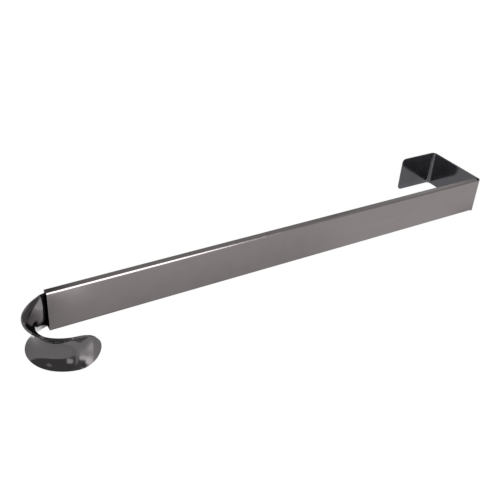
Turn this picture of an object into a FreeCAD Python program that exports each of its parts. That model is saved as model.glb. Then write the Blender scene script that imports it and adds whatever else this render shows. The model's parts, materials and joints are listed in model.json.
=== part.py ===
"""Over-door hanger whose hook bar slides in a folded sleeve, so its length can be set.

Millimetres, +Z up. The hanger is drawn as it hangs: the origin is the middle of the seat that rests
on the door's top edge, -Y faces the room, +Y is the far side of the door and X runs across the sheet.
"""
import FreeCAD
import Part
import math
import os

from FreeCAD import Vector

# Sleeve: one sheet folded into a channel, a bridge over the door and a short leg behind it
SHEET = 0.8
SLEEVE_LENGTH = 340.0
DOOR_GAP = 46.2
LEG_LENGTH = 33.7
SIDE_FOLD_INSIDE = 0.4
FRONT_BEND_INSIDE = 1.2
BACK_BEND_INSIDE = 2.6
LEG_CORNER_RADIUS = 3.2
FLANGE_RELIEF = 1.0

# Hook bar: flat strip that slides in the sleeve
BAR_WIDTH = 23.2
BAR_THICKNESS = 1.3
BAR_SIDE_GAP = 1.1
BAR_BACK_GAP = 0.1
BAR_FRONT_ROOM = 2.3
BAR_TOP_ROOM = 20.0
BAR_END_RADIUS = 3.0
HOLE_PITCH = 25.4
RIVET_ABOVE_LAST_HOLE = 18.0
BAR_END_ABOVE_RIVET = 10.0

# Hook: three tangent arcs from the mouth round to the tip, with a saddle pressed across them.
# The saddle starts in the sleeve, where it draws the bar's middle forward and leaves its sides straight
NECK_RADIUS = 5.5
NECK_ANGLE = 24.2
BELLY_RADIUS = 27.2
BELLY_ANGLE = 23.4
FRONT_RADIUS = 22.1
FRONT_ANGLE = 138.1
SADDLE_DEPTH = 6.25
SADDLE_POWER = 3
SADDLE_LEAD = 11.5
SADDLE_FROM_MOUTH = 26.2
HOOK_WIDTH = 22.4
TIP_LENGTH = 13.3
SECTION_SPACING = 2.0
SECTION_STEPS = 4
TIP_OVERRUN = 1.0

# Catch leaf: spring strip fixed to the inside of the face, with a dimple that sits in a hole of the bar
LEAF_THICKNESS = 0.4
LEAF_WIDTH = 9.0
LEAF_ROOT_LENGTH = 14.0
LEAF_SLOPE_LENGTH = 24.0
LEAF_PAD_LENGTH = 14.0
LEAF_GAP_TO_BAR = 0.05
LEAF_CORNER_RADIUS = 2.0
DIMPLE_RADIUS = 2.0
DIMPLE_HEIGHT = 0.8
DIMPLE_HOLE_GAP = 0.3
LEAF_ABOVE_SADDLE = 1.5

# Stop rivet: flush at the front of the bar, its head slides in the slot between the lips
RIVET_SHANK_RADIUS = 2.0
RIVET_HEAD_RADIUS = 4.0
RIVET_HEAD_RECESS = 0.1
RIVET_HEAD_SIDE_GAP = 1.5
STOP_OVERLAP = 1.0
STOP_GAP = 0.3

# The channel is as deep and as wide as the bar, its gaps and the folded sheet need
SLEEVE_DEPTH = SHEET + BAR_FRONT_ROOM + BAR_THICKNESS + BAR_BACK_GAP + SHEET
HALF_WIDTH = BAR_WIDTH / 2 + BAR_SIDE_GAP + SHEET
SIDE_FOLD_OUTSIDE = SIDE_FOLD_INSIDE + SHEET
FRONT_BEND_OUTSIDE = FRONT_BEND_INSIDE + SHEET
BACK_BEND_OUTSIDE = BACK_BEND_INSIDE + SHEET

# Depths, from the room to the far side of the door
LIP_BACK_Y = -DOOR_GAP / 2
LIP_FRONT_Y = LIP_BACK_Y - SHEET
FACE_Y = LIP_BACK_Y - SLEEVE_DEPTH
FACE_INSIDE_Y = FACE_Y + SHEET
LEG_FRONT_Y = DOOR_GAP / 2
LEG_BACK_Y = LEG_FRONT_Y + SHEET
BAR_BACK_Y = LIP_FRONT_Y - BAR_BACK_GAP
BAR_FRONT_Y = BAR_BACK_Y - BAR_THICKNESS
BAR_MID_Y = BAR_BACK_Y - BAR_THICKNESS / 2

# Heights, and as many length steps as the sleeve has room for above the catch
MOUTH_Z = SHEET - SLEEVE_LENGTH
LEG_END_Z = SHEET - LEG_LENGTH
FLANGE_TOP_Z = -FRONT_BEND_INSIDE - FLANGE_RELIEF
DIMPLE_Z = MOUTH_Z + SADDLE_LEAD + LEAF_ABOVE_SADDLE + LEAF_PAD_LENGTH / 2
LAST_HOLE_TO_BAR_END = RIVET_ABOVE_LAST_HOLE + BAR_END_ABOVE_RIVET
LENGTH_STEPS = int((-DIMPLE_Z - BAR_TOP_ROOM - LAST_HOLE_TO_BAR_END) / HOLE_PITCH)
SLIDE_LENGTH = HOLE_PITCH * LENGTH_STEPS
RIVET_Z = DIMPLE_Z + SLIDE_LENGTH + RIVET_ABOVE_LAST_HOLE
BAR_END_Z = RIVET_Z + BAR_END_ABOVE_RIVET

# The slot between the lips clears the rivet's head, and its throat near the mouth stops the head
SLOT_HALF_WIDTH = RIVET_HEAD_RADIUS + RIVET_HEAD_SIDE_GAP
THROAT_HALF_WIDTH = RIVET_HEAD_RADIUS - STOP_OVERLAP
HEAD_REACH_INTO_THROAT = math.sqrt(RIVET_HEAD_RADIUS ** 2 - THROAT_HALF_WIDTH ** 2)
THROAT_END_Z = RIVET_Z - SLIDE_LENGTH - HEAD_REACH_INTO_THROAT - STOP_GAP

ACROSS = Vector(1, 0, 0)
BACKWARD = Vector(0, 1, 0)
UP = Vector(0, 0, 1)
SAME_PLACE = 1e-4

HOOK_ARCS = (
    (NECK_RADIUS, math.radians(NECK_ANGLE)),
    (BELLY_RADIUS, math.radians(BELLY_ANGLE)),
    (FRONT_RADIUS, math.radians(FRONT_ANGLE)),
)
HOOK_LENGTH = sum(radius * angle for radius, angle in HOOK_ARCS)


def block(x_span, y_span, z_span):
    """Return a box between the two limits given for each direction."""
    low = Vector(x_span[0], y_span[0], z_span[0])
    size = (x_span[1] - x_span[0], y_span[1] - y_span[0], z_span[1] - z_span[0])
    return Part.makeBox(size[0], size[1], size[2], low)


def polygon_prism(outline, direction):
    """Return the solid swept by a closed polygon of points along a direction."""
    wire = Part.makePolygon(outline + [outline[0]])
    return Part.Face(wire).extrude(direction)


def near(value, target):
    """Tell whether a coordinate lies on a plane."""
    return abs(value - target) < SAME_PLACE


def round_corners(solid, radius, direction, is_corner):
    """Fillet the straight edges of a solid that run along a direction and whose ends pass a test."""
    edges = []
    for edge in solid.Edges:
        ends = [vertex.Point for vertex in edge.Vertexes]
        if len(ends) != 2 or not all(is_corner(end) for end in ends):
            continue
        run = ends[1] - ends[0]
        if near(run.cross(direction).Length, 0.0):
            edges.append(edge)
    return solid.makeFillet(radius, edges)


def channel_core(inset, z_low, z_high):
    """Return the channel's outline, moved inwards by inset, as an upright prism with rounded folds."""
    half = HALF_WIDTH - inset
    prism = block((-half, half), (FACE_Y + inset, LIP_BACK_Y - inset), (z_low, z_high))
    return round_corners(prism, SIDE_FOLD_OUTSIDE - inset, UP, lambda p: True)


def make_channel():
    """Fold the face, flanges and lips; the lips come closer near the mouth and stop the rivet there."""
    channel = channel_core(0.0, MOUTH_Z, FLANGE_TOP_Z)
    channel = channel.cut(channel_core(SHEET, MOUTH_Z - SHEET, FLANGE_TOP_Z + SHEET))
    slot_y = (LIP_FRONT_Y - SHEET / 2, LIP_BACK_Y + SHEET)
    slot = block((-SLOT_HALF_WIDTH, SLOT_HALF_WIDTH), slot_y, (THROAT_END_Z, FLANGE_TOP_Z + SHEET))
    throat = block((-THROAT_HALF_WIDTH, THROAT_HALF_WIDTH), slot_y, (MOUTH_Z - SHEET, THROAT_END_Z))
    return channel.cut([slot, throat])


def make_clip():
    """Bend the same sheet over the door: a short stretch of face, the bridge and the leg."""
    beyond = (-2 * HALF_WIDTH, 2 * HALF_WIDTH)
    outside = block((-HALF_WIDTH, HALF_WIDTH), (FACE_Y, LEG_BACK_Y), (LEG_END_Z, SHEET))
    below_face = block(beyond, (FACE_Y - SHEET, LIP_BACK_Y), (LEG_END_Z - SHEET, FLANGE_TOP_Z))
    outside = outside.cut(below_face)
    for radius, y in ((FRONT_BEND_OUTSIDE, FACE_Y), (BACK_BEND_OUTSIDE, LEG_BACK_Y)):
        outside = round_corners(outside, radius, ACROSS, lambda p: near(p.y, y) and near(p.z, SHEET))
    inside = block(beyond, (FACE_INSIDE_Y, LEG_FRONT_Y), (LEG_END_Z - SHEET, 0.0))
    for radius, y in ((FRONT_BEND_INSIDE, FACE_INSIDE_Y), (BACK_BEND_INSIDE, LEG_FRONT_Y)):
        inside = round_corners(inside, radius, ACROSS, lambda p: near(p.y, y) and near(p.z, 0.0))
    clip = outside.cut(inside)
    return round_corners(clip, LEG_CORNER_RADIUS, BACKWARD, lambda p: p.y > 0.0 and near(p.z, LEG_END_Z))


def make_sleeve():
    """Join the channel and the clip, which are one sheet."""
    return make_channel().fuse(make_clip()).removeSplitter()


def saddle_share(run):
    """Return how far the saddle is pressed in at a run past the mouth: 0 at both ends, 1 at its deepest."""
    if run <= -SADDLE_LEAD or run >= HOOK_LENGTH:
        return 0.0
    if run < SADDLE_FROM_MOUTH:
        phase = (run + SADDLE_LEAD) / (SADDLE_FROM_MOUTH + SADDLE_LEAD)
    else:
        phase = (HOOK_LENGTH - run) / (HOOK_LENGTH - SADDLE_FROM_MOUTH)
    return (1 - math.cos(math.pi * phase)) / 2


def lead_point(run):
    """Return the place and heading of the bar's middle at a run above the mouth, which is negative."""
    span = SADDLE_FROM_MOUTH + SADDLE_LEAD
    slope = SADDLE_DEPTH / span * math.pi / 2 * math.sin(math.pi * (run + SADDLE_LEAD) / span)
    return BAR_MID_Y - SADDLE_DEPTH * saddle_share(run), MOUTH_Z - run, math.atan(slope)


def hook_point(run):
    """Return the place and heading on the hook's centre line, run millimetres past the mouth.

    The heading is the angle turned from straight down towards the room.
    """
    y, z, heading = lead_point(min(run, 0.0))
    if run <= 0.0:
        return y, z, heading
    left = run
    for index, (radius, angle) in enumerate(HOOK_ARCS):
        last = index == len(HOOK_ARCS) - 1
        turn = left / radius if last else min(left / radius, angle)
        y += radius * (math.cos(heading + turn) - math.cos(heading))
        z -= radius * (math.sin(heading + turn) - math.sin(heading))
        heading += turn
        left -= turn * radius
        if left <= 0.0:
            break
    return y, z, heading


def hook_half_width(run):
    """Return half the hook's width, which eases from the bar's width to the hook's own by the saddle."""
    ease = saddle_share(run) if run < SADDLE_FROM_MOUTH else 1.0
    return (BAR_WIDTH + (HOOK_WIDTH - BAR_WIDTH) * ease) / 2


def hook_section(run):
    """Return the closed section of the hook across its centre line: two like curves and two edges."""
    y, z, heading = hook_point(run)
    centre = Vector(0, y, z)
    inward = Vector(0, -math.cos(heading), math.sin(heading))
    half = hook_half_width(run)
    sag = SADDLE_DEPTH * saddle_share(run)
    sides = {1: [], -1: []}
    for step in range(-SECTION_STEPS, SECTION_STEPS + 1):
        share = step / SECTION_STEPS
        fall = abs(share) ** SADDLE_POWER
        slope = SADDLE_POWER * sag * share * abs(share) ** (SADDLE_POWER - 2) / half
        normal = (inward + ACROSS * slope) / math.hypot(1.0, slope)
        middle = centre + ACROSS * (share * half) - inward * (sag * fall)
        for side in sides:
            sides[side].append(middle + normal * (side * BAR_THICKNESS / 2))
    edges = []
    for points in (sides[1], sides[-1][::-1]):
        curve = Part.BSplineCurve()
        curve.interpolate(points)
        edges.append(curve.toShape())
    edges.insert(1, Part.makeLine(sides[1][-1], sides[-1][-1]))
    edges.append(Part.makeLine(sides[-1][0], sides[1][0]))
    return Part.Wire(edges)


def make_tip_waste():
    """Return what is trimmed off the hook's end to leave its oval tip."""
    _, low_z, _ = hook_point(HOOK_LENGTH - TIP_LENGTH)
    _, top_z, _ = hook_point(HOOK_LENGTH)
    rise = top_z - low_z
    front_y = FACE_Y - 2 * (NECK_RADIUS + BELLY_RADIUS + FRONT_RADIUS)
    back_y = FACE_Y - SLEEVE_DEPTH
    waste = block((-BAR_WIDTH, BAR_WIDTH), (front_y, back_y), (low_z, top_z + BAR_WIDTH))
    long_axis, short_axis = max(rise, HOOK_WIDTH / 2), min(rise, HOOK_WIDTH / 2)
    ellipse = Part.Ellipse(Vector(0, 0, 0), long_axis, short_axis)
    disc = Part.Face(Part.Wire(ellipse.toShape()))
    if rise > HOOK_WIDTH / 2:
        disc.rotate(Vector(0, 0, 0), Vector(0, 0, 1), 90)
    disc.rotate(Vector(0, 0, 0), Vector(1, 0, 0), 90)
    disc.translate(Vector(0, back_y, low_z))
    return waste.cut(disc.extrude(Vector(0, front_y - back_y, 0)))


def make_hook():
    """Loft the saddle-shaped hook from where the bar's middle starts forward, and trim its oval tip."""
    span = SADDLE_LEAD + HOOK_LENGTH + TIP_OVERRUN
    count = math.ceil(span / SECTION_SPACING)
    runs = [span * index / count - SADDLE_LEAD for index in range(count + 1)]
    hook = Part.makeLoft([hook_section(run) for run in runs], True, False)
    return hook.cut(make_tip_waste())


def bore(z, radius):
    """Return a drill through the bar at a height."""
    start = Vector(0, BAR_FRONT_Y - SHEET, z)
    return Part.makeCylinder(radius, BAR_THICKNESS + 2 * SHEET, start, BACKWARD)


def make_hook_bar():
    """Join the flat bar, its row of holes and the hook."""
    half = BAR_WIDTH / 2
    strip = block((-half, half), (BAR_FRONT_Y, BAR_BACK_Y), (MOUTH_Z + SADDLE_LEAD, BAR_END_Z))
    strip = round_corners(strip, BAR_END_RADIUS, BACKWARD, lambda p: near(p.z, BAR_END_Z))
    hole_radius = DIMPLE_RADIUS + DIMPLE_HOLE_GAP
    drills = [bore(DIMPLE_Z + HOLE_PITCH * step, hole_radius) for step in range(LENGTH_STEPS + 1)]
    drills.append(bore(RIVET_Z, RIVET_SHANK_RADIUS))
    return strip.cut(drills).fuse(make_hook()).removeSplitter()


def make_catch_leaf():
    """Bend the leaf from its root on the face to its pad on the bar, and press its dimple."""
    pad_y = BAR_FRONT_Y - LEAF_GAP_TO_BAR - LEAF_THICKNESS
    low_z = DIMPLE_Z - LEAF_PAD_LENGTH / 2
    slope_z = low_z + LEAF_PAD_LENGTH
    root_z = slope_z + LEAF_SLOPE_LENGTH
    top_z = root_z + LEAF_ROOT_LENGTH
    route = [(pad_y, low_z), (pad_y, slope_z), (FACE_INSIDE_Y, root_z), (FACE_INSIDE_Y, top_z)]
    half = LEAF_WIDTH / 2
    outline = [Vector(-half, y, z) for y, z in route]
    outline += [Vector(-half, y + LEAF_THICKNESS, z) for y, z in reversed(route)]
    leaf = polygon_prism(outline, Vector(LEAF_WIDTH, 0, 0))
    leaf = round_corners(leaf, LEAF_CORNER_RADIUS, BACKWARD, lambda p: near(p.z, low_z) or near(p.z, top_z))
    cap_radius = (DIMPLE_RADIUS ** 2 + DIMPLE_HEIGHT ** 2) / (2 * DIMPLE_HEIGHT)
    leaf_front_y = pad_y + LEAF_THICKNESS
    centre = Vector(0, leaf_front_y + DIMPLE_HEIGHT - cap_radius, DIMPLE_Z)
    behind_pad = block((-LEAF_WIDTH, LEAF_WIDTH), (pad_y - 2 * cap_radius, pad_y), (low_z, slope_z))
    dome = Part.makeSphere(cap_radius, centre).cut(behind_pad)
    hollow = Part.makeSphere(cap_radius - LEAF_THICKNESS, centre)
    return leaf.fuse(dome).cut(hollow)


def make_stop_rivet():
    """Turn the rivet: a shank as long as the bar is thick and a flat head between the lips."""
    shank_start = Vector(0, BAR_FRONT_Y, RIVET_Z)
    shank = Part.makeCylinder(RIVET_SHANK_RADIUS, BAR_THICKNESS, shank_start, BACKWARD)
    head_height = LIP_BACK_Y - BAR_BACK_Y - RIVET_HEAD_RECESS
    head = Part.makeCylinder(RIVET_HEAD_RADIUS, head_height, Vector(0, BAR_BACK_Y, RIVET_Z), BACKWARD)
    rim = [e for e in head.Edges if e.Closed and near(e.CenterOfMass.y, BAR_BACK_Y + head_height)]
    head = head.makeFillet(head_height / 2, rim)
    return shank.fuse(head)


def main():
    """Build each piece and write it as its own file."""
    os.makedirs("parts", exist_ok=True)
    pieces = {
        "sleeve": make_sleeve(),
        "hook_bar": make_hook_bar(),
        "catch_leaf": make_catch_leaf(),
        "stop_rivet": make_stop_rivet(),
    }
    for node, shape in pieces.items():
        shape.exportStep(f"parts/{node}.step")
        print(node, len(shape.Solids), "solid", round(shape.Volume, 1), "mm3", "valid", shape.isValid())


main()
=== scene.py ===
"""Dresses the over-door hanger: a folded steel sleeve and the hook bar that slides in it.

Metres, +Z up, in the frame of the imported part: the origin is the middle of the seat on the door's top
edge, -Y faces the room and X runs across the sheet. The sleeve and the hook bar are shaped here as a
sheet worker would, from flat blanks that are folded, rolled and pressed. The catch leaf and the stop
rivet keep their solids and get their finish here.
"""

import json
import logging
import math
from dataclasses import dataclass
from enum import Enum
from typing import Callable, Iterator, Sequence

import bmesh
import bpy
from mathutils import Matrix, Vector

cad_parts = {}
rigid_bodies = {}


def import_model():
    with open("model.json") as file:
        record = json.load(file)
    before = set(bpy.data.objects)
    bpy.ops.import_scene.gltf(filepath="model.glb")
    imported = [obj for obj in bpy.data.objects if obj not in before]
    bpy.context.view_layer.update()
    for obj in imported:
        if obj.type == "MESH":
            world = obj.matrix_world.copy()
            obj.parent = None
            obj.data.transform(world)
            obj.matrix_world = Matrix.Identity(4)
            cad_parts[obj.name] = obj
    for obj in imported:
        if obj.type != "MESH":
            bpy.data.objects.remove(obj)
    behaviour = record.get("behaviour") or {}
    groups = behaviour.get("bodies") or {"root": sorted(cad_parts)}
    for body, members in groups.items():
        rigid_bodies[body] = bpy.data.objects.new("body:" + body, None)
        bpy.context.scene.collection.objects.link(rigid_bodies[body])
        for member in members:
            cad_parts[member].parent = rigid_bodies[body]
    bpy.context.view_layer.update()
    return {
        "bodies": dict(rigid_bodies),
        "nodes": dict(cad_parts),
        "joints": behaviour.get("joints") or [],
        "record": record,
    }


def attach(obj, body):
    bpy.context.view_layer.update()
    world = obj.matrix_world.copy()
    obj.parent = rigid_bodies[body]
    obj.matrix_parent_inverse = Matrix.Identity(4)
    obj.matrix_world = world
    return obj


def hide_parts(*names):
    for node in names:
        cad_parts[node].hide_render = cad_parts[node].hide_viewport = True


LOG = logging.getLogger("hanger")
MM = 0.001
MICRON = 0.001 * MM
SAME_PLACE = MICRON
QUARTER_TURN = math.pi / 2
ROUND = 0.5
WIDE_FACE_WEIGHT = 50
SHEET_SIDES = 2
CLEAR_THROUGH = 4
TONE_SPREAD = (0.12, 0.4)
CLOUD_SPREAD = (0.3, 0.7)
ACROSS = Vector((1.0, 0.0, 0.0))
UP = Vector((0.0, 0.0, 1.0))


class Element(Enum):
    """What is picked in edit mode."""

    VERTEX = "VERT"
    EDGE = "EDGE"


# Modelling


def near(value: float, target: float) -> bool:
    """Tell whether a coordinate lies on a plane."""
    return abs(value - target) < SAME_PLACE


def activate(piece: bpy.types.Object) -> None:
    """Select one object alone and make it active.

    Args:
        piece: the object.
    """
    bpy.ops.object.select_all(action="DESELECT")
    piece.select_set(True)
    bpy.context.view_layer.objects.active = piece


class Blank:
    """A flat sheet blank and the shaping done to it, with its parts picked by their place."""

    def __init__(self, name: str, centre: Vector, width: float, height: float) -> None:
        """Lay out an upright rectangle that faces the room.

        Args:
            name: the piece's name.
            centre: the rectangle's middle.
            width: its size along X.
            height: its size along Z.
        """
        bpy.ops.object.select_all(action="DESELECT")
        bpy.ops.mesh.primitive_plane_add(size=1.0, location=centre, rotation=(QUARTER_TURN, 0.0, 0.0))
        self.piece = bpy.context.object
        self.piece.name = self.piece.data.name = name
        self.piece.scale = (width, height, 1.0)
        bpy.ops.object.transform_apply(location=True, rotation=True, scale=True)

    def open(self) -> None:
        """Enter edit mode on the blank with nothing picked."""
        activate(self.piece)
        bpy.ops.object.mode_set(mode="EDIT")
        bpy.ops.mesh.select_all(action="DESELECT")

    def close(self, front_inside: bool) -> None:
        """Merge doubled points, turn every face to the same side and leave edit mode.

        Args:
            front_inside: whether the sheet's front is on the hollow side of what it was bent into.
        """
        bpy.ops.mesh.select_all(action="SELECT")
        bpy.ops.mesh.remove_doubles(threshold=SAME_PLACE)
        bpy.ops.mesh.normals_make_consistent(inside=front_inside)
        bpy.ops.object.mode_set(mode="OBJECT")

    def pick(self, element: Element, test: Callable[[Vector], bool], rim_only: bool = False) -> None:
        """Select the points that pass a test, or the edges whose ends and middle pass it.

        Args:
            element: whether points or edges are picked.
            test: tells whether a place belongs.
            rim_only: whether only edges on the sheet's rim are picked.
        """
        bpy.ops.mesh.select_mode(type=element.value)
        bpy.ops.mesh.select_all(action="DESELECT")
        mesh = bmesh.from_edit_mesh(self.piece.data)
        if element is Element.VERTEX:
            for point in mesh.verts:
                point.select_set(test(point.co))
        else:
            for edge in mesh.edges:
                ends = [point.co for point in edge.verts]
                inside = all(test(place) for place in (*ends, (ends[0] + ends[1]) / 2))
                edge.select_set(inside and (edge.is_boundary or not rim_only))
        mesh.select_flush_mode()
        bmesh.update_edit_mesh(self.piece.data)

    def fold_out(self, step: Vector) -> None:
        """Extrude the picked edges by a step."""
        bpy.ops.mesh.extrude_edges_move(TRANSFORM_OT_translate={"value": step})

    def round_off(self, radius: float, segments: int, element: Element = Element.EDGE) -> None:
        """Round the picked folds, or the picked corners of the outline."""
        affect = "EDGES" if element is Element.EDGE else "VERTICES"
        bpy.ops.mesh.bevel(
            offset=radius, segments=segments, profile=ROUND, affect=affect, clamp_overlap=True
        )

    def narrow(self, ratio: float) -> None:
        """Scale what is picked across the sheet, about its middle."""
        bpy.ops.transform.resize(value=(ratio, 1.0, 1.0), center_override=(0.0, 0.0, 0.0))

    def cut_line(self, height: float) -> None:
        """Score a level line across the whole blank."""
        bpy.ops.mesh.select_all(action="SELECT")
        bpy.ops.mesh.bisect(plane_co=(0.0, 0.0, height), plane_no=UP, use_fill=False)


def apply_modifier(piece: bpy.types.Object, kind: str, **settings: object) -> None:
    """Add a modifier with its settings and apply it.

    Args:
        piece: the object.
        kind: the modifier's type.
        **settings: the modifier's properties.
    """
    activate(piece)
    modifier = piece.modifiers.new(kind.lower(), kind)
    for name, value in settings.items():
        setattr(modifier, name, value)
    bpy.ops.object.modifier_apply(modifier=modifier.name)


def thicken(piece: bpy.types.Object, thickness: float, side: float) -> None:
    """Give a blank its thickness. The new back takes the second material, where there is one.

    Args:
        piece: the blank.
        thickness: the sheet's thickness.
        side: -1 to grow behind the blank's front, 0 to grow both ways.
    """
    apply_modifier(
        piece, "SOLIDIFY", thickness=thickness, offset=side, use_even_offset=True, use_rim=True,
        material_offset=1,
    )


def break_edges(piece: bpy.types.Object, width: float, segments: int, above: float) -> None:
    """Round the sharp edges that shearing and punching leave.

    Args:
        piece: the object.
        width: how wide the rounding is.
        segments: its steps.
        above: the least angle, in degrees, that counts as sharp.
    """
    apply_modifier(
        piece, "BEVEL", width=width, segments=segments, limit_method="ANGLE",
        angle_limit=math.radians(above), miter_outer="MITER_ARC",
    )


def smooth(piece: bpy.types.Object, angle: float) -> None:
    """Shade a piece smooth, with its wide faces setting the shading.

    Args:
        piece: the object.
        angle: the angle, in degrees, above which an edge stays sharp.
    """
    activate(piece)
    bpy.ops.object.shade_smooth_by_angle(angle=math.radians(angle))
    apply_modifier(piece, "WEIGHTED_NORMAL", keep_sharp=True, weight=WIDE_FACE_WEIGHT)


def punch(piece: bpy.types.Object, holes: Sequence[tuple[Vector, float]], depth: float, sides: int) -> None:
    """Punch round holes through a piece from front to back.

    Args:
        piece: the object.
        holes: each hole's centre and radius.
        depth: the punches' length along Y.
        sides: how many sides a punch has.
    """
    bpy.ops.object.select_all(action="DESELECT")
    punches = []
    for centre, radius in holes:
        bpy.ops.mesh.primitive_cylinder_add(
            vertices=sides, radius=radius, depth=depth, location=centre, rotation=(QUARTER_TURN, 0.0, 0.0)
        )
        punches.append(bpy.context.object)
    for tool in punches:
        tool.select_set(True)
    bpy.ops.object.join()
    tool = bpy.context.object
    apply_modifier(piece, "BOOLEAN", operation="DIFFERENCE", solver="EXACT", object=tool)
    bpy.data.objects.remove(tool)


# Finishes


class NodeGroup:
    """A shader node group under construction."""

    def __init__(self, name: str, inputs: dict[str, float], outputs: Sequence[str]) -> None:
        """Make the group with its sockets.

        Args:
            name: the group's name.
            inputs: each input's name and default.
            outputs: the outputs' names.
        """
        self.tree = bpy.data.node_groups.new(name, "ShaderNodeTree")
        for label, default in inputs.items():
            socket = self.tree.interface.new_socket(label, in_out="INPUT", socket_type="NodeSocketFloat")
            socket.default_value = default
        for label in outputs:
            self.tree.interface.new_socket(label, in_out="OUTPUT", socket_type="NodeSocketFloat")
        self.start = self.tree.nodes.new("NodeGroupInput")
        self.end = self.tree.nodes.new("NodeGroupOutput")

    def node(self, kind: str, **settings: object) -> bpy.types.Node:
        """Add a node with its properties set."""
        return add_node(self.tree, kind, **settings)

    def link(self, source: bpy.types.NodeSocket, target: bpy.types.NodeSocket) -> None:
        """Join two sockets."""
        self.tree.links.new(source, target)

    def noise(self, place: bpy.types.NodeSocket, detail: float, scale: float = 1.0) -> bpy.types.Node:
        """Add a noise texture.

        Args:
            place: the socket that gives each point's place.
            detail: how many finer layers the noise has.
            scale: how fine the noise is.

        Returns:
            The noise node.
        """
        texture = self.node("ShaderNodeTexNoise")
        texture.inputs["Scale"].default_value = scale
        texture.inputs["Detail"].default_value = detail
        self.link(place, texture.inputs["Vector"])
        return texture


def add_node(tree: bpy.types.NodeTree, kind: str, **settings: object) -> bpy.types.Node:
    """Add a node to a tree.

    Args:
        tree: the node tree.
        kind: the node's type.
        **settings: the node's properties.

    Returns:
        The node.
    """
    node = tree.nodes.new(kind)
    for name, value in settings.items():
        setattr(node, name, value)
    return node


def spread_out(
    tree: bpy.types.NodeTree,
    source: bpy.types.NodeSocket,
    given: tuple[float, float],
    wanted: tuple[float, float],
) -> bpy.types.NodeSocket:
    """Map one range of values to another.

    Args:
        tree: the node tree.
        source: the socket with the values.
        given: the range that comes in.
        wanted: the range that goes out.

    Returns:
        The socket with the mapped values.
    """
    node = add_node(tree, "ShaderNodeMapRange")
    ranges = (("From Min", given[0]), ("From Max", given[1]), ("To Min", wanted[0]), ("To Max", wanted[1]))
    for label, value in ranges:
        node.inputs[label].default_value = value
    tree.links.new(source, node.inputs["Value"])
    return node.outputs["Result"]


def rolled_grain() -> bpy.types.NodeTree:
    """Build the group for the fine straight lines that rolling and brushing leave.

    Returns:
        The group. Its height and tone run long in Z and fine across it.
    """
    group = NodeGroup("rolled_grain", {"Lines per metre": 4000.0, "Stretch": 60.0}, ["Height", "Tone"])
    place = group.node("ShaderNodeTexCoord")
    ratio = group.node("ShaderNodeMath", operation="DIVIDE")
    group.link(group.start.outputs["Lines per metre"], ratio.inputs[0])
    group.link(group.start.outputs["Stretch"], ratio.inputs[1])
    scale = group.node("ShaderNodeCombineXYZ")
    group.link(group.start.outputs["Lines per metre"], scale.inputs["X"])
    group.link(group.start.outputs["Lines per metre"], scale.inputs["Y"])
    group.link(ratio.outputs[0], scale.inputs["Z"])
    stretched = group.node("ShaderNodeVectorMath", operation="MULTIPLY")
    group.link(place.outputs["Object"], stretched.inputs[0])
    group.link(scale.outputs[0], stretched.inputs[1])
    fine = group.noise(stretched.outputs[0], detail=3.0)
    coarse = group.noise(stretched.outputs[0], detail=2.0, scale=0.2)
    group.link(fine.outputs["Fac"], group.end.inputs["Height"])
    group.link(coarse.outputs["Fac"], group.end.inputs["Tone"])
    return group.tree


def handling_marks() -> bpy.types.NodeTree:
    """Build the group for the faint cloudiness and unevenness that plating and handling leave.

    Returns:
        The group. Its cloud is a soft mask and its swell a slow rise and fall of the surface.
    """
    group = NodeGroup("handling_marks", {"Cloud scale": 90.0, "Swell scale": 25.0}, ["Cloud", "Swell"])
    place = group.node("ShaderNodeTexCoord")
    for label, source, detail in (("Cloud", "Cloud scale", 4.0), ("Swell", "Swell scale", 1.0)):
        noise = group.noise(place.outputs["Object"], detail)
        group.link(group.start.outputs[source], noise.inputs["Scale"])
        group.link(noise.outputs["Fac"], group.end.inputs[label])
    return group.tree


@dataclass(frozen=True)
class SharedEffects:
    """The node groups that every finish draws on."""

    grain: bpy.types.NodeTree
    marks: bpy.types.NodeTree


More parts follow.
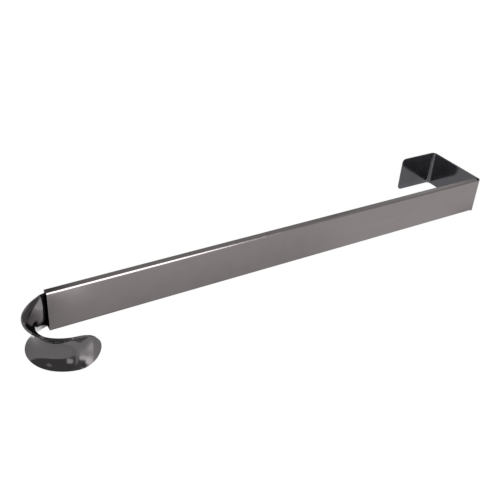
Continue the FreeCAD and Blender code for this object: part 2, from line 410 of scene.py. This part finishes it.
@dataclass(frozen=True)
class PlatedSteel:
    """Steel plated to a dark gunmetal, from satin to polished."""

    name: str
    dark: tuple[float, float, float]
    light: tuple[float, float, float]
    smooth_roughness: float
    cloudy_roughness: float
    lines_per_metre: float
    grain_depth: float
    swell_depth: float

    def material(self, effects: SharedEffects) -> bpy.types.Material:
        """Build the material from the shared groups.

        Args:
            effects: the shared groups.

        Returns:
            The material.
        """
        material = bpy.data.materials.new(self.name)
        material.use_nodes = True
        tree = material.node_tree
        shader = tree.nodes["Principled BSDF"]
        shader.inputs["Metallic"].default_value = 1.0
        lines = add_node(tree, "ShaderNodeGroup", node_tree=effects.grain)
        lines.inputs["Lines per metre"].default_value = self.lines_per_metre
        wear = add_node(tree, "ShaderNodeGroup", node_tree=effects.marks)
        mixed = add_node(tree, "ShaderNodeMath", operation="MULTIPLY")
        tree.links.new(lines.outputs["Tone"], mixed.inputs[0])
        tree.links.new(wear.outputs["Cloud"], mixed.inputs[1])
        tone = spread_out(tree, mixed.outputs[0], TONE_SPREAD, (0.0, 1.0))
        colour = add_node(tree, "ShaderNodeMix", data_type="RGBA")
        colour.inputs["A"].default_value = (*self.dark, 1.0)
        colour.inputs["B"].default_value = (*self.light, 1.0)
        tree.links.new(tone, colour.inputs["Factor"])
        tree.links.new(colour.outputs["Result"], shader.inputs["Base Color"])
        roughness = (self.smooth_roughness, self.cloudy_roughness)
        gloss = spread_out(tree, wear.outputs["Cloud"], CLOUD_SPREAD, roughness)
        tree.links.new(gloss, shader.inputs["Roughness"])
        swell = add_node(tree, "ShaderNodeBump")
        swell.inputs["Distance"].default_value = self.swell_depth
        tree.links.new(wear.outputs["Swell"], swell.inputs["Height"])
        ridges = add_node(tree, "ShaderNodeBump")
        ridges.inputs["Distance"].default_value = self.grain_depth
        tree.links.new(lines.outputs["Height"], ridges.inputs["Height"])
        tree.links.new(swell.outputs["Normal"], ridges.inputs["Normal"])
        tree.links.new(ridges.outputs["Normal"], shader.inputs["Normal"])
        return material


SATIN_GUNMETAL = PlatedSteel(
    name="satin_gunmetal",
    dark=(0.232, 0.208, 0.209),
    light=(0.246, 0.221, 0.222),
    smooth_roughness=0.15,
    cloudy_roughness=0.19,
    lines_per_metre=5000.0,
    grain_depth=0.8 * MICRON,
    swell_depth=10 * MICRON,
)
POLISHED_GUNMETAL = PlatedSteel(
    name="polished_gunmetal",
    dark=(0.205, 0.192, 0.196),
    light=(0.223, 0.209, 0.213),
    smooth_roughness=0.10,
    cloudy_roughness=0.14,
    lines_per_metre=5000.0,
    grain_depth=0.5 * MICRON,
    swell_depth=10 * MICRON,
)
INNER_GUNMETAL = PlatedSteel(
    name="inner_gunmetal",
    dark=(0.196, 0.194, 0.211),
    light=(0.212, 0.210, 0.228),
    smooth_roughness=0.10,
    cloudy_roughness=0.13,
    lines_per_metre=5000.0,
    grain_depth=0.5 * MICRON,
    swell_depth=10 * MICRON,
)
SPRING_STEEL = PlatedSteel(
    name="spring_steel",
    dark=(0.36, 0.35, 0.34),
    light=(0.44, 0.43, 0.42),
    smooth_roughness=0.24,
    cloudy_roughness=0.34,
    lines_per_metre=7000.0,
    grain_depth=2 * MICRON,
    swell_depth=10 * MICRON,
)
RIVET_STEEL = PlatedSteel(
    name="rivet_steel",
    dark=(0.24, 0.23, 0.23),
    light=(0.30, 0.29, 0.28),
    smooth_roughness=0.20,
    cloudy_roughness=0.32,
    lines_per_metre=3000.0,
    grain_depth=2 * MICRON,
    swell_depth=10 * MICRON,
)


def dress(piece: bpy.types.Object, *materials: bpy.types.Material) -> None:
    """Give an object its materials.

    Args:
        piece: the object.
        *materials: one for each of its slots, the last of which serves all further slots.
    """
    while len(piece.material_slots) < len(materials):
        piece.data.materials.append(None)
    for index, slot in enumerate(piece.material_slots):
        slot.material = materials[min(index, len(materials) - 1)]


# The hanger's pieces


@dataclass
class Sleeve:
    """The folded sheet: a channel for the hook bar, a bridge over the door and a leg behind it."""

    sheet: float = 0.8 * MM
    half_width: float = 13.5 * MM
    face_y: float = -28.4 * MM
    lip_back_y: float = -23.1 * MM
    leg_back_y: float = 23.9 * MM
    mouth_z: float = -339.2 * MM
    flange_top_z: float = -2.2 * MM
    leg_end_z: float = -32.9 * MM
    relief: float = 0.5 * MM
    side_fold: float = 1.2 * MM
    front_bend: float = 2.0 * MM
    back_bend: float = 3.4 * MM
    leg_corner: float = 3.2 * MM
    slot_half_width: float = 5.5 * MM
    throat_half_width: float = 3.0 * MM
    throat_end_z: float = -304.146 * MM
    fold_steps: int = 8
    broken_edge: float = 0.1 * MM
    edge_steps: int = 2
    sharp_angle: float = 45.0
    smooth_angle: float = 40.0

    def fold_channel(self, blank: Blank) -> None:
        """Turn up the flanges and lips of the channel and round its folds.

        Args:
            blank: the sleeve's blank, which is the channel's face.
        """
        depth = self.lip_back_y - self.face_y
        lip = self.half_width - self.slot_half_width
        tongue = self.slot_half_width - self.throat_half_width
        blank.pick(Element.EDGE, lambda p: near(abs(p.x), self.half_width))
        blank.fold_out(Vector((0.0, depth, 0.0)))
        for side in (-1.0, 1.0):
            blank.pick(
                Element.EDGE,
                lambda p: near(p.x, side * self.half_width) and near(p.y, self.lip_back_y),
            )
            blank.fold_out(Vector((-side * lip, 0.0, 0.0)))
        blank.cut_line(self.throat_end_z)
        for side in (-1.0, 1.0):
            blank.pick(
                Element.EDGE,
                lambda p: near(p.x, side * self.slot_half_width) and p.z < self.throat_end_z + SAME_PLACE,
            )
            blank.fold_out(Vector((-side * tongue, 0.0, 0.0)))
        blank.pick(
            Element.EDGE,
            lambda p: near(abs(p.x), self.half_width)
            and (near(p.y, self.face_y) or near(p.y, self.lip_back_y)),
        )
        blank.round_off(self.side_fold, self.fold_steps)

    def bend_clip(self, blank: Blank) -> None:
        """Carry the face up, over the door and down behind it, and widen it to the sheet's full width.

        Args:
            blank: the sleeve's blank, with its channel folded.
        """
        flat_half = self.half_width - self.side_fold
        blank.pick(
            Element.EDGE,
            lambda p: near(p.z, self.flange_top_z)
            and near(p.y, self.face_y)
            and abs(p.x) < flat_half + SAME_PLACE,
        )
        blank.fold_out(Vector((0.0, 0.0, self.relief)))
        blank.fold_out(Vector((0.0, 0.0, self.sheet - self.flange_top_z - self.relief)))
        blank.fold_out(Vector((0.0, self.leg_back_y - self.face_y, 0.0)))
        blank.fold_out(Vector((0.0, 0.0, self.leg_end_z - self.sheet)))
        for radius, depth in ((self.front_bend, self.face_y), (self.back_bend, self.leg_back_y)):
            blank.pick(Element.EDGE, lambda p: near(p.z, self.sheet) and near(p.y, depth))
            blank.round_off(radius, self.fold_steps)
        shoulder_z = self.flange_top_z + self.relief
        for side in (-1.0, 1.0):
            blank.pick(
                Element.EDGE,
                lambda p: near(p.x, side * flat_half)
                and (p.z > shoulder_z - SAME_PLACE or p.y > self.lip_back_y + self.sheet),
                rim_only=True,
            )
            blank.fold_out(Vector((side * self.side_fold, 0.0, 0.0)))
        leg_top_z = self.sheet - self.back_bend + SAME_PLACE
        blank.pick(
            Element.EDGE,
            lambda p: near(abs(p.x), flat_half) and near(p.y, self.leg_back_y) and p.z < leg_top_z,
        )
        bpy.ops.mesh.dissolve_edges(use_verts=True)
        blank.pick(Element.VERTEX, lambda p: near(abs(p.x), self.half_width) and near(p.z, self.leg_end_z))
        blank.round_off(self.leg_corner, self.fold_steps, Element.VERTEX)

    def build(self) -> bpy.types.Object:
        """Fold the sleeve from its blank.

        Returns:
            The sleeve.
        """
        middle = Vector((0.0, self.face_y, (self.mouth_z + self.flange_top_z) / 2))
        blank = Blank("folded_sleeve", middle, 2 * self.half_width, self.flange_top_z - self.mouth_z)
        blank.open()
        self.fold_channel(blank)
        self.bend_clip(blank)
        blank.close(front_inside=False)
        for _ in range(SHEET_SIDES):
            blank.piece.data.materials.append(None)
        thicken(blank.piece, self.sheet, -1.0)
        break_edges(blank.piece, self.broken_edge, self.edge_steps, self.sharp_angle)
        smooth(blank.piece, self.smooth_angle)
        return blank.piece


@dataclass
class HookBar:
    """The flat bar with its row of holes, and the saddle-shaped hook at its lower end."""

    thickness: float = 1.3 * MM
    bar_width: float = 23.2 * MM
    hook_width: float = 22.4 * MM
    middle_y: float = -24.65 * MM
    mouth_z: float = -339.2 * MM
    top_z: float = -37.2 * MM
    top_corner: float = 3.0 * MM
    corner_steps: int = 8
    catch_z: float = -319.2 * MM
    hole_pitch: float = 25.4 * MM
    hole_count: int = 11
    hole_radius: float = 2.3 * MM
    rivet_z: float = -47.2 * MM
    rivet_radius: float = 2.0 * MM
    drill_sides: int = 40
    neck_radius: float = 5.5 * MM
    neck_angle: float = 24.2
    belly_radius: float = 27.2 * MM
    belly_angle: float = 23.4
    front_radius: float = 22.1 * MM
    front_angle: float = 138.1
    saddle_depth: float = 6.25 * MM
    saddle_power: int = 3
    saddle_lead: float = 11.5 * MM
    saddle_from_mouth: float = 26.2 * MM
    tip_length: float = 13.3 * MM
    row_spacing: float = 1.0 * MM
    tip_rows: int = 14
    columns: int = 24
    worn_edge: float = 0.35 * MM
    worn_steps: int = 3
    punched_edge: float = 0.15 * MM
    punched_steps: int = 2
    sharp_angle: float = 50.0
    smooth_angle: float = 40.0

    def arcs(self) -> list[tuple[float, float]]:
        """Return the radius and angle of the hook's three tangent arcs."""
        return [
            (self.neck_radius, math.radians(self.neck_angle)),
            (self.belly_radius, math.radians(self.belly_angle)),
            (self.front_radius, math.radians(self.front_angle)),
        ]

    def hook_length(self) -> float:
        """Return the length of the hook's centre line."""
        return sum(radius * angle for radius, angle in self.arcs())

    def saddle_share(self, run: float) -> float:
        """Tell how far the saddle is pressed in.

        Args:
            run: the distance past the mouth along the centre line.

        Returns:
            0 where the lead starts and at the tip, 1 where the saddle is deepest.
        """
        whole = self.hook_length()
        if run <= -self.saddle_lead or run >= whole:
            return 0.0
        if run < self.saddle_from_mouth:
            phase = (run + self.saddle_lead) / (self.saddle_from_mouth + self.saddle_lead)
        else:
            phase = (whole - run) / (whole - self.saddle_from_mouth)
        return (1.0 - math.cos(math.pi * phase)) / 2

    def mouth_heading(self) -> float:
        """Work out how far the middle of the bar already leans to the room at the mouth.

        Returns:
            The lean's angle.
        """
        span = self.saddle_lead + self.saddle_from_mouth
        slope = QUARTER_TURN * self.saddle_depth / span * math.sin(math.pi * self.saddle_lead / span)
        return math.atan(slope)

    def half_width_at(self, run: float) -> float:
        """Return half the hook's width before its tip is rounded."""
        ease = self.saddle_share(run) if run < self.saddle_from_mouth else 1.0
        return (self.bar_width + (self.hook_width - self.bar_width) * ease) / 2

    def turns(self) -> Iterator[tuple[Vector, float, float, float]]:
        """Walk along the hook in short turns.

        Yields:
            The turn's centre, its angle, the run at its end and the half width there.
        """
        place, heading, run = Vector((0.0, *self.row_centre(0.0))), self.mouth_heading(), 0.0
        whole = self.hook_length()
        for radius, angle in self.arcs():
            centre = place - radius * Vector((0.0, math.cos(heading), -math.sin(heading)))
            last = (radius, angle) == self.arcs()[-1]
            tip_angle = self.tip_length / radius if last else 0.0
            steps = math.ceil((angle - tip_angle) * radius / self.row_spacing)
            marks = [(angle - tip_angle) * (index + 1) / steps for index in range(steps)]
            widths = [self.half_width_at(run + mark * radius) for mark in marks]
            if last:
                low = -math.sin(heading + angle - tip_angle)
                rise = -math.sin(heading + angle) - low
                for index in range(1, self.tip_rows + 1):
                    phase = QUARTER_TURN * index / self.tip_rows
                    level = low + rise * math.sin(phase)
                    marks.append(math.pi + math.asin(level) - heading)
                    widths.append(self.half_width_at(whole) * math.cos(phase))
            before = 0.0
            for mark, width in zip(marks, widths):
                yield centre, mark - before, run + mark * radius, width
                before = mark
            run += angle * radius
            heading += angle
            place = centre + radius * Vector((0.0, math.cos(heading), -math.sin(heading)))

    def draw_lead(self, blank: Blank) -> list[float]:
        """Draw the middle of the bar towards the room in short steps down to the mouth.

        Args:
            blank: the bar's blank, with its lower edge picked.

        Returns:
            The run of each row of points.
        """
        steps = math.ceil(self.saddle_lead / self.row_spacing)
        runs = [self.saddle_lead * (index / steps - 1.0) for index in range(steps + 1)]
        for before, run in zip(runs, runs[1:]):
            blank.fold_out(Vector((0.0, *(self.row_centre(run) - self.row_centre(before)))))
            blank.narrow(self.half_width_at(run) / self.half_width_at(before))
        return runs

    def roll_hook(self, blank: Blank) -> list[float]:
        """Roll the hook out of the bar's lower edge and narrow each row to the hook's outline.

        Args:
            blank: the bar's blank, with its lower edge picked.

        Returns:
            The run of each row of points.
        """
        runs = []
        width = self.half_width_at(0.0)
        for centre, turn, run, half in self.turns():
            bpy.ops.mesh.spin(steps=1, angle=turn, center=centre, axis=ACROSS, use_auto_merge=False)
            half = max(half, SAME_PLACE)
            blank.narrow(half / width)
            width = half
            runs.append(run)
        return runs

    def press_saddle(self, blank: Blank, runs: Sequence[float]) -> None:
        """Press the saddle across the hook.

        Args:
            blank: the rolled blank, in object mode.
            runs: the run of each row of points.
        """
        piece = blank.piece
        group = piece.vertex_groups.new(name="saddle")
        centre_line = {run: self.row_centre(run) for run in runs}
        for point in piece.data.vertices:
            if point.co.z > self.mouth_z + self.saddle_lead + SAME_PLACE and near(point.co.y, self.middle_y):
                continue
            run = min(centre_line, key=lambda r: (point.co.yz - centre_line[r]).length)
            share = abs(point.co.x) / self.half_width_at(run)
            group.add([point.index], self.saddle_share(run) * share ** self.saddle_power, "REPLACE")
        apply_modifier(
            piece, "DISPLACE", direction="NORMAL", mid_level=0.0, strength=-self.saddle_depth,
            vertex_group=group.name,
        )
        piece.vertex_groups.clear()

    def row_centre(self, run: float) -> Vector:
        """Follow the middle of the bar and the hook.

        Args:
            run: the distance past the mouth along the centre line, below 0 inside the sleeve.

        Returns:
            The centre line's Y and Z there.
        """
        y = self.middle_y - self.saddle_depth * self.saddle_share(min(run, 0.0))
        if run <= 0.0:
            return Vector((y, self.mouth_z - run))
        z, heading = self.mouth_z, self.mouth_heading()
        for radius, angle in self.arcs():
            turn = max(0.0, min(run / radius, angle))
            y += radius * (math.cos(heading + turn) - math.cos(heading))
            z -= radius * (math.sin(heading + turn) - math.sin(heading))
            heading += turn
            run -= turn * radius
        return Vector((y, z))

    def build(self) -> bpy.types.Object:
        """Shape the hook bar from its blank.

        Returns:
            The hook bar.
        """
        low_z = self.mouth_z + self.saddle_lead
        middle = Vector((0.0, self.middle_y, (low_z + self.top_z) / 2))
        blank = Blank("saddle_hook_bar", middle, self.bar_width, self.top_z - low_z)
        blank.open()
        blank.pick(Element.VERTEX, lambda p: near(p.z, self.top_z))
        blank.round_off(self.top_corner, self.corner_steps, Element.VERTEX)
        blank.pick(Element.EDGE, lambda p: near(p.z, low_z))
        bpy.ops.mesh.subdivide(number_cuts=self.columns - 1)
        blank.pick(Element.EDGE, lambda p: near(p.z, low_z))
        runs = self.draw_lead(blank) + self.roll_hook(blank)
        bpy.ops.mesh.merge(type="CENTER")
        blank.close(front_inside=True)
        self.press_saddle(blank, runs)
        thicken(blank.piece, self.thickness, 0.0)
        break_edges(blank.piece, self.worn_edge, self.worn_steps, self.sharp_angle)
        drills = [
            (Vector((0.0, self.middle_y, self.catch_z + self.hole_pitch * step)), self.hole_radius)
            for step in range(self.hole_count)
        ]
        drills.append((Vector((0.0, self.middle_y, self.rivet_z)), self.rivet_radius))
        punch(blank.piece, drills, CLEAR_THROUGH * self.thickness, self.drill_sides)
        break_edges(blank.piece, self.punched_edge, self.punched_steps, self.sharp_angle)
        smooth(blank.piece, self.smooth_angle)
        return blank.piece


# Studio


def around(azimuth: float, distance: float, height: float) -> Vector:
    """Return the place at an azimuth in degrees, from the room towards +X, a distance and a height."""
    turn = math.radians(azimuth)
    return Vector((distance * math.sin(turn), -distance * math.cos(turn), height))


@dataclass(frozen=True, kw_only=True)
class Card:
    """A card that is seen only in the object's polished faces.

    Its brightness is set against the white surroundings, which are 1.
    """

    name: str
    brightness: float
    width: float
    azimuth: float = 0.0

    def put(self, place: Vector, turn: tuple[float, float, float], height: float) -> None:
        """Make the card at its place with its plain surface.

        Args:
            place: the card's middle.
            turn: its turn about each axis.
            height: its size across its width.
        """
        bpy.ops.object.select_all(action="DESELECT")
        bpy.ops.mesh.primitive_plane_add(size=1.0, location=place, rotation=turn)
        card = bpy.context.object
        card.name = self.name
        card.scale = (self.width, height, 1.0)
        card.visible_camera = card.visible_diffuse = card.visible_shadow = False
        material = bpy.data.materials.new(self.name)
        material.use_nodes = True
        tree = material.node_tree
        glow = add_node(tree, "ShaderNodeEmission")
        glow.inputs["Strength"].default_value = self.brightness
        tree.links.new(glow.outputs[0], tree.nodes["Material Output"].inputs["Surface"])
        card.data.materials.append(material)


@dataclass(frozen=True, kw_only=True)
class StandingCard(Card):
    """A card that stands upright on its side of the object and faces it.

    Its lean, in degrees, turns it in its own plane.
    """

    distance: float
    low: float
    high: float
    lean: float = 0.0

    def hang(self) -> None:
        """Stand the card in its place."""
        place = around(self.azimuth, self.distance, (self.low + self.high) / 2)
        turn = (QUARTER_TURN, math.radians(self.lean), math.radians(self.azimuth))
        self.put(place, turn, self.high - self.low)


@dataclass(frozen=True, kw_only=True)
class LevelCard(Card):
    """A card that lies level, on the floor or overhead."""

    depth: float
    middle: tuple[float, float, float]

    def hang(self) -> None:
        """Lay the card in its place."""
        self.put(Vector(self.middle), (0.0, 0.0, math.radians(self.azimuth)), self.depth)


FLOOR_Z = -0.75
CARDS = (
    StandingCard(
        name="front_flag", brightness=0.17, azimuth=-30.0, distance=1.25, width=5.0, low=FLOOR_Z, high=-0.17
    ),
    StandingCard(
        name="mouth_flag", brightness=0.12, azimuth=25.7, distance=1.22, width=0.505, low=-0.30, high=-0.075
    ),
    StandingCard(
        name="back_flag", brightness=0.08, azimuth=-140.0, distance=1.5, width=3.5, low=FLOOR_Z, high=0.02
    ),
    StandingCard(
        name="back_card", brightness=0.50, azimuth=-140.0, distance=1.52, width=3.5, low=0.02, high=0.9
    ),
    StandingCard(
        name="side_card", brightness=0.62, azimuth=75.0, distance=1.3, width=1.97, low=FLOOR_Z, high=0.9
    ),
    StandingCard(
        name="side_flag", brightness=0.22, azimuth=75.0, distance=1.28, width=1.1, low=-0.36, high=0.11
    ),
    StandingCard(
        name="leg_card", brightness=0.38, azimuth=42.4, distance=0.121, width=0.027, low=0.070, high=0.118
    ),
    StandingCard(
        name="low_light", brightness=1.7, azimuth=34.4, distance=1.2, width=0.115, low=-0.52, high=-0.21
    ),
    StandingCard(
        name="tip_light", brightness=2.0, azimuth=25.0, distance=0.2, width=0.022, low=-0.32, high=-0.27,
        lean=12.0,
    ),
    LevelCard(
        name="dark_table", brightness=0.15, azimuth=-48.0, width=2.6, depth=2.6,
        middle=(-1.0, -0.90, FLOOR_Z + 5 * MM),
    ),
    LevelCard(
        name="white_sheet", brightness=1.0, azimuth=25.0, width=0.26, depth=0.38,
        middle=(0.31, -0.70, FLOOR_Z + 10 * MM),
    ),
    LevelCard(
        name="grey_sheet", brightness=0.45, azimuth=-30.0, width=0.12, depth=0.1,
        middle=(-0.24, -0.14, FLOOR_Z + 10 * MM),
    ),
    LevelCard(name="ceiling_card", brightness=0.58, width=2.4, depth=4.4, middle=(-1.25, 0.0, 0.9)),
    LevelCard(name="ceiling_flag", brightness=0.18, width=0.5, depth=2.1, middle=(-0.3, 0.3, 0.88)),
    LevelCard(name="ceiling_shade", brightness=0.30, width=0.5, depth=0.5, middle=(-1.02, 1.32, 0.87)),
    LevelCard(name="ceiling_light", brightness=0.90, width=0.16, depth=0.17, middle=(-0.62, 0.77, 0.87)),
)


@dataclass
class Studio:
    """The camera, the floor, the softbox and the pale surroundings, with the cards between them."""

    camera_place: Vector = Vector((-0.267584, -0.366625, -0.427287))
    camera_right: Vector = Vector((-0.065494, -0.510669, 0.857279))
    camera_down: Vector = Vector((0.836927, -0.495949, -0.231491))
    camera_forward: Vector = Vector((0.543382, 0.702319, 0.459874))
    lens: float = 53.589
    nearest: float = 10 * MM
    floor_size: float = 12.0
    floor_colour: float = 0.72
    floor_roughness: float = 0.9
    softbox_azimuth: float = -37.0
    softbox_distance: float = 1.2
    softbox_width: float = 2.5
    softbox_low: float = -0.16
    softbox_high: float = 0.36
    softbox_power: float = 21.7
    fill: float = 0.45

    def set_camera(self) -> None:
        """Stand the camera where the photograph was taken from."""
        data = bpy.data.cameras.new("photograph")
        data.lens = self.lens
        data.clip_start = self.nearest
        camera = bpy.data.objects.new("photograph", data)
        bpy.context.scene.collection.objects.link(camera)
        turn = Matrix((self.camera_right, -self.camera_down, -self.camera_forward)).transposed()
        camera.matrix_world = Matrix.Translation(self.camera_place) @ turn.to_4x4()
        bpy.context.scene.camera = camera

    def lay_floor(self) -> None:
        """Lay the plain pale floor well below the hook."""
        bpy.ops.object.select_all(action="DESELECT")
        bpy.ops.mesh.primitive_plane_add(size=self.floor_size, location=(0.0, 0.0, FLOOR_Z))
        floor = bpy.context.object
        floor.name = "studio_floor"
        material = bpy.data.materials.new("pale_floor")
        material.use_nodes = True
        shader = material.node_tree.nodes["Principled BSDF"]
        shader.inputs["Base Color"].default_value = (*[self.floor_colour] * 3, 1.0)
        shader.inputs["Roughness"].default_value = self.floor_roughness
        floor.data.materials.append(material)

    def hang_softbox(self) -> None:
        """Hang the long softbox in front of the hanger, on the camera's side."""
        data = bpy.data.lights.new("softbox", "AREA")
        data.shape = "RECTANGLE"
        data.size, data.size_y = self.softbox_width, self.softbox_high - self.softbox_low
        data.energy = self.softbox_power
        softbox = bpy.data.objects.new("softbox", data)
        bpy.context.scene.collection.objects.link(softbox)
        middle_z = (self.softbox_low + self.softbox_high) / 2
        softbox.location = around(self.softbox_azimuth, self.softbox_distance, middle_z)
        softbox.rotation_euler = (QUARTER_TURN, 0.0, math.radians(self.softbox_azimuth))
        softbox.visible_camera = False

    def surround(self) -> None:
        """Surround the scene with white, which the camera and the metal see, and a plain fill light."""
        world = bpy.data.worlds.new("pale_surroundings")
        bpy.context.scene.world = world
        world.use_nodes = True
        tree = world.node_tree
        background = tree.nodes["Background"]
        background.inputs["Color"].default_value = (1.0, 1.0, 1.0, 1.0)
        path = add_node(tree, "ShaderNodeLightPath")
        seen = path.outputs["Is Camera Ray"]
        for ray in ("Is Glossy Ray", "Is Transmission Ray"):
            either = add_node(tree, "ShaderNodeMath", operation="MAXIMUM")
            tree.links.new(seen, either.inputs[0])
            tree.links.new(path.outputs[ray], either.inputs[1])
            seen = either.outputs[0]
        level = add_node(tree, "ShaderNodeMapRange")
        level.inputs["To Min"].default_value = self.fill
        level.inputs["To Max"].default_value = 1.0
        tree.links.new(seen, level.inputs["Value"])
        tree.links.new(level.outputs["Result"], background.inputs["Strength"])

    def build(self) -> None:
        """Set up the whole studio."""
        self.set_camera()
        self.lay_floor()
        self.hang_softbox()
        for card in CARDS:
            card.hang()
        self.surround()
        bpy.context.scene.view_settings.view_transform = "Standard"


# Assembly


@dataclass
class Hanger:
    """The whole hanger: what each piece is, what it moves with and what it is made of."""

    sleeve: Sleeve
    hook_bar: HookBar

    def build(self, frame: dict) -> None:
        """Build and dress every piece.
        """
        effects = SharedEffects(rolled_grain(), handling_marks())
        sleeve = self.sleeve.build()
        dress(sleeve, SATIN_GUNMETAL.material(effects), INNER_GUNMETAL.material(effects))
        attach(sleeve, "sleeve_body")
        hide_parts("sleeve")
        LOG.info("sleeve folded, %d faces", len(sleeve.data.polygons))
        bar = self.hook_bar.build()
        dress(bar, POLISHED_GUNMETAL.material(effects))
        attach(bar, "hook_body")
        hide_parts("hook_bar")
        LOG.info("hook bar shaped, %d faces", len(bar.data.polygons))
        dress(frame["nodes"]["catch_leaf"], SPRING_STEEL.material(effects))
        dress(frame["nodes"]["stop_rivet"], RIVET_STEEL.material(effects))
        LOG.info("catch leaf and stop rivet dressed")


def main() -> None:
    """Load the frame, and build the studio and the hanger."""
    logging.basicConfig(level=logging.INFO, format="%(name)s: %(message)s")
    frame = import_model()
    Studio().build()
    LOG.info("studio set up")
    Hanger(Sleeve(), HookBar()).build(frame)


if __name__ == "__main__":
    main()
